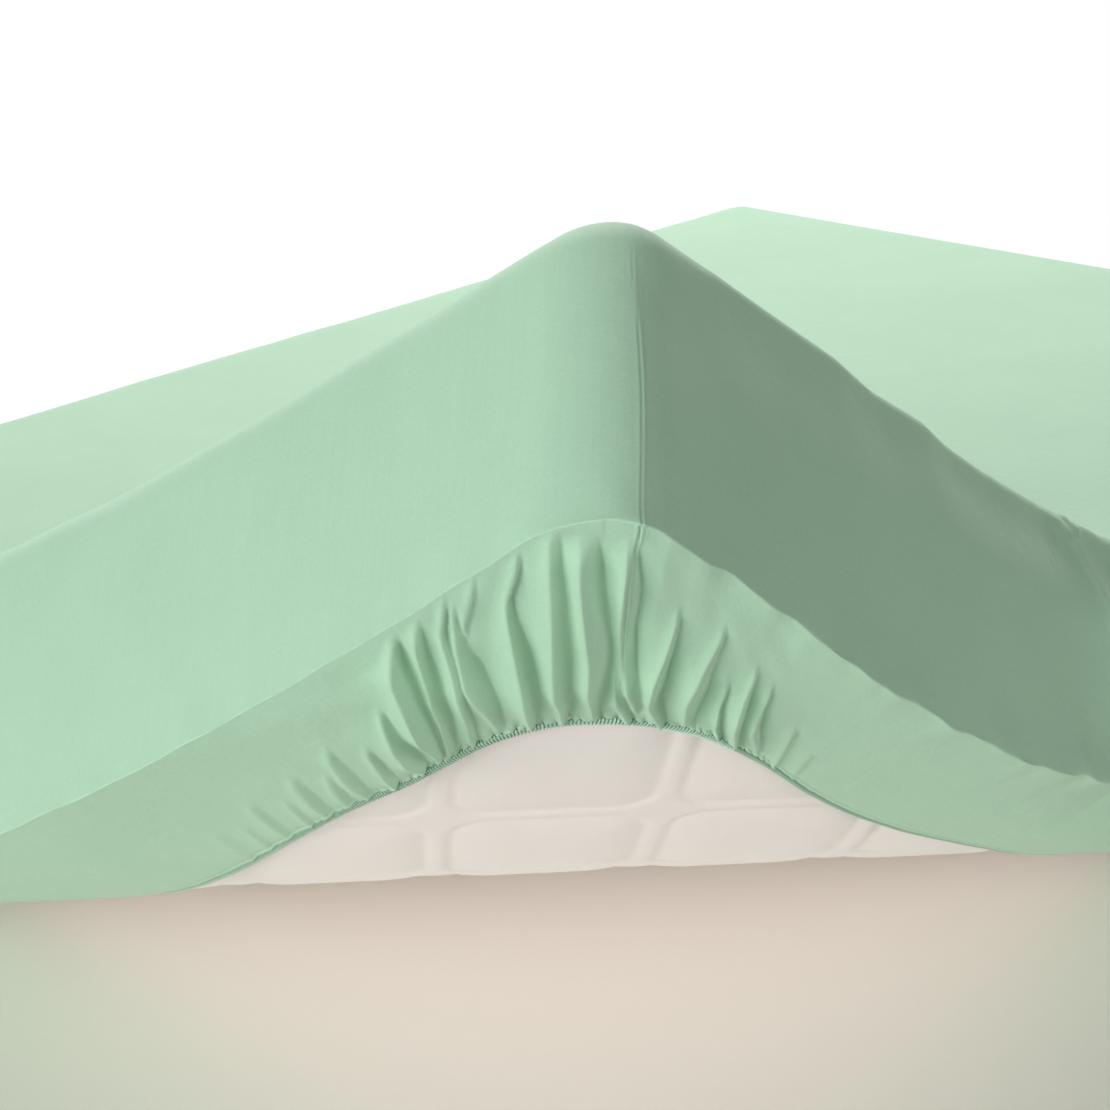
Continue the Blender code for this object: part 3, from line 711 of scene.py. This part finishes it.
HEM_ROWS = (0.0, 0.006, 0.012, 0.018, 0.024, 0.031, 0.040)  # shares of the way, next to the hem
EDGE_ROWS = (0.95, 0.97, 0.985, 0.995)  # and next to the wall
HEM_TURN = 4  # rows of the hem that are turned back inside
BAND_ROWS, BOTTOM_ROWS, WALL_ROWS, TOP_ROWS = 30, 3, 22, 8
FIRST_WALL_ROWS = (0.006, 0.018, 0.035, 0.06)  # shares of the wall's height, next to its lower edge
NEEDLE_IN, NEEDLE_WIDE, NEEDLE_DEEP = 0.0042, 0.0011, 0.0007  # the row of stitches beside the hem
BAND_WIDTH = 0.14  # a usual width of the band, for its unevenness
SLACK = 0.12  # unevenness where the band isn't gathered, as a share
EDGE_CALM = 6  # it dies out over one part in so many of the band, next to the wall
WALL_CALM, TOP_CALM = 0.04, 0.05  # the wall's dies out over these lengths at its ends
WAVE_AT = 0.008  # distance from the wall's lower edge where its waves are highest
QUARTER_SHIFTS = (3.1, 5.7)  # that make the four quarters uneven in different ways
INNER_CLEAR, DIP_MOST = 0.008, 0.0010  # first inner points of the top, and how far they may dip


def make_sheet(material):
    """The cloth: turned-under band, walls and top, with its gathers, creases and corner seams."""
    arc, flip_p, flip_q = make_columns(
        (((0.26, 0.0011), (0.42, 0.0020), (0.50, 0.006), (SHORT, 0.015)),
         ((0.16, 0.0011), (0.26, 0.0020), (0.50, 0.005), (0.63, 0.0018), (0.72, 0.005), (LONG, 0.015)),
         SEAM_NEAR),
        (((0.06, 0.008), (SHORT, 0.03)), ((0.06, 0.008), (LONG, 0.03)), SEAM_FAR_COLUMNS))
    columns = len(arc)
    near = ~flip_p & ~flip_q
    gaps = _, top, under = SIDE_GAP + CLOTH, TOP_GAP + CLOTH, UNDER_GAP + CLOTH
    drop, uneven = edge_drops(arc, near)
    tent_low = np.where(near, seam_tent(arc - read_off(SEAM_PLACES, 0.0)), 0)
    drop += tent_low
    lift = np.where(near, edge_lift(arc, 0), 0)
    low = drop + uneven - lift
    offset, height, (out, up) = sections(arc, near, gaps, low, BOTTOM_ROWS, WALL_ROWS, TOP_ROWS)
    outline, outward = corner_points(arc, 0, 0, CORNER_RADIUS)
    place, plain_hem, hem_outward, moves = hem_points(arc, near)
    hem = plain_hem + hem_outward * moves[:, None]
    edge = outline + outward * (offset[:, :1] + tent_low[:, None])
    plain_length = np.hypot(*(outline - outward * BOTTOM_RADIUS - plain_hem).T)[:, None]

    # band; folds are placed by shares of the way from the plain hem to the plain rounding
    share = np.concatenate([HEM_ROWS, np.linspace(HEM_ROWS[-1], EDGE_ROWS[0], BAND_ROWS + 1)[1:-1], EDGE_ROWS])
    shares = np.broadcast_to(share, (columns, len(share)))
    band = hem[:, None, :] + (edge - hem)[:, None, :] * share[None, :, None]
    last_share = 1 + (BOTTOM_RADIUS + offset[:, :1]) / plain_length
    fold_share = moves[:, None] / plain_length * (1 - share) + last_share * share
    fold_place = arc[:, None] * fold_share + place[:, None] * (1 - fold_share)
    stand = puffs(arc[:, None], shares) + drop[:, None] * shares ** EDGE_FALL
    stand += uneven[:, None] * np.exp((shares - 1) / UNEVEN_FALL)
    stand += folds(fold_place, fold_share) + puckers(fold_place, shares)
    seam = seam_relief(fold_place - read_off(SEAM_PLACES, shares - 1))
    stand += SEAM_UNDER * seam * smooth((shares - SEAM_START) / SEAM_RISE)
    slack = np.clip(gathered(arc)[:, None], SLACK, 1)
    uneven_band = lumps(BAND_LUMPS, fold_place, shares * BAND_WIDTH)
    stand += slack * uneven_band * smooth((1 - shares) * EDGE_CALM)
    band_length = np.hypot(*(edge - hem).T)[:, None]
    stand -= NEEDLE_DEEP * np.exp(-((shares * band_length - NEEDLE_IN) / NEEDLE_WIDE) ** 2)
    stand = np.maximum(stand, -UNDER_GAP + HEM_LAYER + CLEARANCE)
    stand -= edge_lift(arc[:, None], (1 - shares) * band_length)
    stand = np.where(near[:, None], stand, 0)
    band_points = np.concatenate([band, (UNDERSIDE - under - stand)[:, :, None]], axis=2)
    turned_back = band_points[:, HEM_TURN - 1::-1] + np.array([0, 0, HEM_LAYER])

    # wall, as displacements along each row's own outward direction
    steps = np.hypot(np.diff(offset, axis=1), np.diff(height, axis=1))
    path = np.concatenate([np.zeros((columns, 1)), np.cumsum(steps, axis=1)], axis=1)
    total = path[:, -1:]
    arcs = np.broadcast_to(arc[:, None], path.shape)
    along = np.broadcast_to(np.where(flip_q, LENGTH - outline[:, 1], outline[:, 1])[:, None], path.shape)
    stand = np.where(near[:, None], folds(arcs, last_share + path / plain_length), 0)
    rise = path / total
    near_seam = arcs - read_off(SEAM_PLACES, rise)
    fade = smooth((SEAM_END - rise) / SEAM_FADE)
    stand += fade * np.where(near[:, None], seam_relief(near_seam), seam_relief(arcs - SEAM_FAR))
    tent = np.where(near[:, None], seam_tent(near_seam) * smooth((TENT_END - rise) / TENT_FADE), 0)
    long_wall = (~flip_p & (arc < CREASE_FROM))[:, None]
    stand += np.where(long_wall, crease_relief(along, height), 0)
    quarter = flip_p[:, None] * QUARTER_SHIFTS[0] + flip_q[:, None] * QUARTER_SHIFTS[1]
    inside = smooth(path / WALL_CALM) * smooth((total - path) / TOP_CALM)
    stand += inside * lumps(WALL_LUMPS, arcs + quarter, path)
    stand += lumps(EDGE_WAVES, arcs + quarter, 0.0) * (path / WAVE_AT) * np.exp(1 - path / WAVE_AT)
    stand = np.maximum(stand, -SIDE_GAP + HEM_LAYER + CLEARANCE)
    spots = outline[:, None, :] + outward[:, None, :] * (offset + out * stand + tent)[:, :, None]
    wall_points = np.concatenate([spots, (height + up * stand)[:, :, None]], axis=2)

    flat = placed(np.concatenate([turned_back, band_points, wall_points], axis=1), flip_p, flip_q)
    count = len(flat) // columns

    # where each point lies on the flat cloth
    band_reach = band_length * (share - 1)
    hem_reach = 2 * band_reach[:, :1] - band_reach[:, HEM_TURN - 1::-1]
    reach = total + offset[:, -1:] - np.concatenate([hem_reach, band_reach, path], axis=1)
    on_short = (arc > SEAM_CUT)[:, None]
    along_short = np.broadcast_to(arc[:, None] + CORNER_CUT, reach.shape)
    along_long = np.broadcast_to(CORNER_CUT - arc[:, None], reach.shape)
    cloth_map = np.where(on_short[:, :, None], np.stack([along_short, -reach], axis=-1),
                         np.stack([-reach, along_long], axis=-1))
    cloth_map = placed(cloth_map, flip_p, flip_q)

    # top
    inner = grid_points(TOP_STEP, TOP_RADIUS + INNER_CLEAR)
    calm = smooth((inset_of(inner) - TOP_RADIUS) / TOP_CALM)
    rise = np.maximum(lumps(TOP_LUMPS, *inner.T) * calm, -DIP_MOST)
    flat, triangles = filled(flat, columns, count, count - 1, inner, TOP + top + rise - top_drop(*inner.T))
    faces = ring_faces(columns, count) + triangles
    made = new_piece("fitted_sheet", to_world(flat), faces, material)
    set_flat_map(made, np.concatenate([cloth_map, inner]))
    return made


# ---- elastic hem

def hem_line():
    """The hem as rows of p, q, stand, outward direction and place, evenly spaced for the stitches."""
    arc, flip_p, flip_q = make_columns((((0.30, 0.002), (SHORT, 0.006)), ((0.30, 0.002), (LONG, 0.006)), ()),
                                       (((SHORT, 0.01),), ((LONG, 0.01),), ()))
    near = ~flip_p & ~flip_q
    place, hem, outward, moves = hem_points(arc, near)
    hem += outward * moves[:, None]
    stand = np.where(near, puffs(arc, 0.0), 0)
    hem = placed(hem, flip_p, flip_q)
    outward = outward * np.stack([np.where(flip_p, -1, 1), np.where(flip_q, -1, 1)], axis=1)
    line = np.column_stack([hem, stand, outward, np.where(near, place, FAR_PLACE)])
    line = np.concatenate([line, line[:1]])
    lengths = np.append(0, np.cumsum(np.hypot(*np.diff(line[:, :2], axis=0).T)))
    count = 2 * round(lengths[-1] / STITCH)
    even = np.arange(count) * lengths[-1] / count
    return np.column_stack([np.interp(even, lengths, part) for part in line.T])


def make_elastic(material):
    """The gathered hem: a cord of cloth over elastic, ribbed by its overlock stitches."""
    line = hem_line()
    count = len(line)
    turns = np.arange(CORD_SIDES) * 2 * math.pi / CORD_SIDES
    rib = np.where(np.arange(count) % 2 == 0, 1.0, CORD_WAIST)[:, None]
    wide = (ELASTIC_WIDTH / 2) * rib * np.cos(turns)
    tall = (ELASTIC_THICK / 2) * rib * np.sin(turns)
    inward = CORD_MIDDLE + wide
    p = line[:, 0:1] - line[:, 3:4] * inward
    q = line[:, 1:2] - line[:, 4:5] * inward
    w = ELASTIC_LOW + ELASTIC_THICK / 2 - line[:, 2:3] + tall
    flat = np.stack([p, q, w], axis=2).reshape(-1, 3)
    faces = ring_faces(count, CORD_SIDES, closed=True)
    return new_piece("hem_elastic", to_world(flat), faces, material)


def make_stitches(material):
    """Overlock thread: a loop round the cord for each stitch of the lifted part of the hem."""
    line = hem_line()
    centres = np.stack([line[:, 0] - line[:, 3] * CORD_MIDDLE, line[:, 1] - line[:, 4] * CORD_MIDDLE,
                        ELASTIC_LOW + ELASTIC_THICK / 2 - line[:, 2]], axis=1)
    world = to_world(centres)
    steps = np.roll(world, -1, axis=0) - np.roll(world, 1, axis=0)
    ahead = steps / np.linalg.norm(steps, axis=1)[:, None]
    inside = centres - np.column_stack([line[:, 3:5] * 0.001, np.zeros(len(line))])
    inward = to_world(inside) - world
    inward -= ahead * (inward * ahead).sum(axis=1)[:, None]
    inward /= np.linalg.norm(inward, axis=1)[:, None]
    upright = np.cross(ahead, inward)
    around = np.arange(LOOP_STEPS) * 2 * math.pi / LOOP_STEPS
    rim = np.arange(LOOP_SIDES) * 2 * math.pi / LOOP_SIDES
    points, faces = [], []
    for stitch in range(0, len(line), 2):
        if not STITCH_FROM < line[stitch, 5] < STITCH_TO:
            continue
        slant = STITCH_SLANT * draw.uniform(0.7, 1.3)
        thick = THREAD_RADIUS * draw.uniform(0.85, 1.15)
        wide, tall = ELASTIC_WIDTH / 2 + LOOP_STAND * thick, ELASTIC_THICK / 2 + LOOP_STAND * thick
        first = len(points)
        way, level, height = ahead[stitch], inward[stitch], upright[stitch]
        for turn in around:
            out = np.array([math.cos(turn) / wide, math.sin(turn) / tall])
            out /= np.hypot(*out)
            spot = (world[stitch] + wide * math.cos(turn) * level + tall * math.sin(turn) * height
                    + slant * math.cos(turn) * way)
            normal = out[0] * level + out[1] * height
            points += [spot + thick * (math.cos(side) * normal + math.sin(side) * way) for side in rim]
        faces += [[first + vert for vert in face] for face in ring_faces(LOOP_STEPS, LOOP_SIDES, closed=True)]
    return new_piece("overlock_thread", points, faces, material)


# ---- mattress

CELL_ROUND, CELL_PUFF = 0.028, 0.055
GROOVE, STRIP = 0.0036, 0.0021  # depth of the sewn grooves, and of the strip between two of them
GROOVE_FALL, STRIP_RISE = 2.8, 0.007  # how steep the pillows are at a groove, and how wide it is
QUILT_CALM = 0.02  # the quilting starts this far inside the outline, and is full at twice that
TOP_STEP, HIDDEN_STEP = 0.022, 0.05  # of the sheet's and of the mattress's top
UNDER_COARSE = 0.015
# Bands of the underside from the lifted corner on: end, step, and half width of that step
UNDER_STEPS = ((0.16, 0.020, 2.0), (0.76, 0.003, 0.47), (1.20, 0.009, 2.0), (2.45, 0.03, 2.0))


def quilt_depth(p, q):
    """How far the quilted underside is drawn in: pillows with round corners between sewn channels."""
    over = []
    for place, first, pitch in (((p + q) * DIAGONAL, QUILT_FIRST_ALONG, QUILT_ALONG),
                                ((p - q) * DIAGONAL, QUILT_FIRST_ACROSS, QUILT_ACROSS)):
        over.append(QUILT_CHANNEL / 2 + CELL_ROUND - pitch / 2 + np.abs((place - first) % pitch - pitch / 2))
    apart = (np.hypot(np.clip(over[0], 0, None), np.clip(over[1], 0, None))
             + np.minimum(np.maximum(over[0], over[1]), 0) - CELL_ROUND)
    pillow = GROOVE * (1 - np.clip(-apart / CELL_PUFF, 0, 1)) ** GROOVE_FALL
    strip = GROOVE - (GROOVE - STRIP) * smooth(apart / STRIP_RISE)
    return np.where(apart < 0, pillow, strip)


def make_mattress(material):
    """The mattress: plain walls and top under the sheet, and a quilted underside that shows."""
    arc, flip_p, flip_q = make_columns((((0.06, 0.011), (SHORT, 0.04)), ((0.06, 0.011), (LONG, 0.02)), ()),
                                       (((0.06, 0.011), (SHORT, 0.06)), ((0.06, 0.011), (LONG, 0.06)), ()))
    near = ~flip_p & ~flip_q
    lift = np.where(near, edge_lift(arc, 0), 0)
    offset, height, _ = sections(arc, near, (0, 0, 0), -lift, 4, 12, 5)
    outline, outward = corner_points(arc, 0, 0, CORNER_RADIUS)
    spots = outline[:, None, :] + outward[:, None, :] * offset[:, :, None]
    flat = placed(np.concatenate([spots, height[:, :, None]], axis=2), flip_p, flip_q)
    columns, count = height.shape
    upper = grid_points(HIDDEN_STEP, TOP_RADIUS + 0.01)
    flat, top_faces = filled(flat, columns, count, count - 1, upper, TOP - top_drop(*upper.T))
    lower = under_points(LOW_RADIUS + 0.004)
    heights = UNDERSIDE + quilt_depth(*lower.T) * smooth(inset_of(lower) / QUILT_CALM - 1)
    heights += edge_lift(CORNER_CUT - lower[:, 1], lower[:, 0])
    flat, low_faces = filled(flat, columns, count, 0, lower, heights)
    faces = ring_faces(columns, count) + top_faces + low_faces
    return new_piece("quilted_mattress", to_world(flat), faces, material)


def inset_of(points):
    """Distance of points inward from the mattress's rounded outline."""
    middle = np.array([WIDTH / 2, LENGTH / 2])
    past = np.abs(points - middle) - middle + CORNER_RADIUS
    return CORNER_RADIUS - np.hypot(*np.clip(past, 0, None).T) - np.minimum(past.max(axis=1), 0)


def grid_points(step, clear):
    """An even grid inside the outline."""
    grid = np.stack(np.meshgrid(np.arange(step / 2, WIDTH, step), np.arange(step / 2, LENGTH, step)), axis=-1)
    grid = grid.reshape(-1, 2)
    return grid[inset_of(grid) > clear]


def under_points(clear):
    """A grid along the diagonal, finest where the underside shows."""
    kept = []
    start = 0.0
    for end, step, half in UNDER_STEPS:
        for pace, least, most in ((step, 0.0, half), (UNDER_COARSE, half, LENGTH)):
            a, b = np.meshgrid(np.arange(start, end, pace), np.arange(-most, most, pace))
            a, b = a[np.abs(b) >= least], b[np.abs(b) >= least]
            grid = np.stack([(a + b) * DIAGONAL, (a - b) * DIAGONAL], axis=-1)
            kept.append(grid[inset_of(grid) > clear])
        start = end
    return np.concatenate(kept)


# ---- build

sheet = make_sheet(cloth_material())
# the cord's colour carries painted shade along the hem near the floor
elastic = make_elastic(thread_material("cord", CORD_TONE_AND_SHADE))
stitches = make_stitches(thread_material("thread", THREAD))
mattress = make_mattress(cover_material())
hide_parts("sheet")
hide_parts("elastic_edge")
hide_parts("mattress")

# floor
FLOOR_MARGIN, FLOOR_LEVEL = 0.50, -0.0002
(left, front), (right, back) = cad_box[0][:2], cad_box[1][:2]
sides = (left - FLOOR_MARGIN, right + FLOOR_MARGIN), (front - FLOOR_MARGIN, back + FLOOR_MARGIN)
floor_mesh = bpy.data.meshes.new("floor")
floor_mesh.from_pydata([(sides[0][a], sides[1][b], 0) for a, b in ((0, 0), (1, 0), (1, 1), (0, 1))], [],
                       [(0, 1, 2, 3)])
floor_mesh.materials.append(floor_material())
floor = new_linked("floor", floor_mesh)
floor.location.z = FLOOR_LEVEL


# camera
CAMERA_PLACE = (1.4156, -1.8566, 1.0532)
YAW, PITCH, ROLL = math.radians(41.11), math.radians(21.28), -0.013
PHOTO_MIDDLE, FOCAL_LENGTH = 555, 2326.67  # in pixels of the photo

camera_data = bpy.data.cameras.new("camera")
camera = new_linked("camera", camera_data)
camera_data.angle = 2 * math.atan(PHOTO_MIDDLE / FOCAL_LENGTH)
camera_data.clip_start, camera_data.clip_end = 0.05, 50
forward = Vector((-math.sin(YAW) * math.cos(PITCH), math.cos(YAW) * math.cos(PITCH), -math.sin(PITCH)))
level_right = Vector((math.cos(YAW), math.sin(YAW), 0))
level_up = level_right.cross(forward)
right = math.cos(ROLL) * level_right + math.sin(ROLL) * level_up
upward = math.cos(ROLL) * level_up - math.sin(ROLL) * level_right
turn = Matrix((right, upward, -forward)).transposed().to_4x4()
camera.matrix_world = Matrix.Translation(CAMERA_PLACE) @ turn
scene.camera = camera


# light: each softbox's direction and distance from the part's middle, and its power
LIGHT_TARGET = Vector((0.0, -0.1, 0.25))
LIGHT_WIDTH, LIGHT_HEIGHT = 0.53, 0.27  # for each metre of distance
WHITE, COOL = (1.0, 1.0, 1.0), (0.93, 1.0, 1.06)
LIGHTS = (
    ("front_left", (0.0, -1.0, 0.25), 4.5, 41, WHITE),
    ("front_far", (0.0, -1.0, 0.25), 9.0, 236, WHITE),
    ("front_low", (0.35, -0.93, 0.14), 4.5, 37, COOL),
    ("right_fill", (1.0, 0.0, 0.25), 4.5, 50, WHITE),
    ("left_high", (-0.8, 0.3, 0.7), 9.0, 415, WHITE),
    ("behind", (-0.5, 0.8, 0.5), 9.0, 622, WHITE),
)
for name, direction, distance, power, colour in LIGHTS:
    data = bpy.data.lights.new(name, "AREA")
    data.shape = "RECTANGLE"
    data.size, data.size_y = LIGHT_WIDTH * distance, LIGHT_HEIGHT * distance
    data.energy, data.color = power, colour
    made = new_linked(name, data)
    toward = Vector(direction).normalized()
    made.location = LIGHT_TARGET + distance * toward
    made.rotation_euler = (-toward).to_track_quat("-Z", "Y").to_euler()

world = bpy.data.worlds.new("studio")
scene.world = world
world.use_nodes = True
tree = world.node_tree
dim = tree.nodes["Background"]
dim.inputs["Color"].default_value = (1, 1, 1, 1)
dim.inputs["Strength"].default_value = 0.04
seen = node(tree, "ShaderNodeBackground", Color=(1, 1, 1, 1), Strength=1.0)
to_camera = node(tree, "ShaderNodeLightPath").outputs["Is Camera Ray"]
mixed = node(tree, "ShaderNodeMixShader", [("Fac", to_camera), (1, dim.outputs[0]), (2, seen.outputs[0])])
tree.links.new(mixed.outputs[0], tree.nodes["World Output"].inputs["Surface"])
scene.view_settings.view_transform = "Standard"
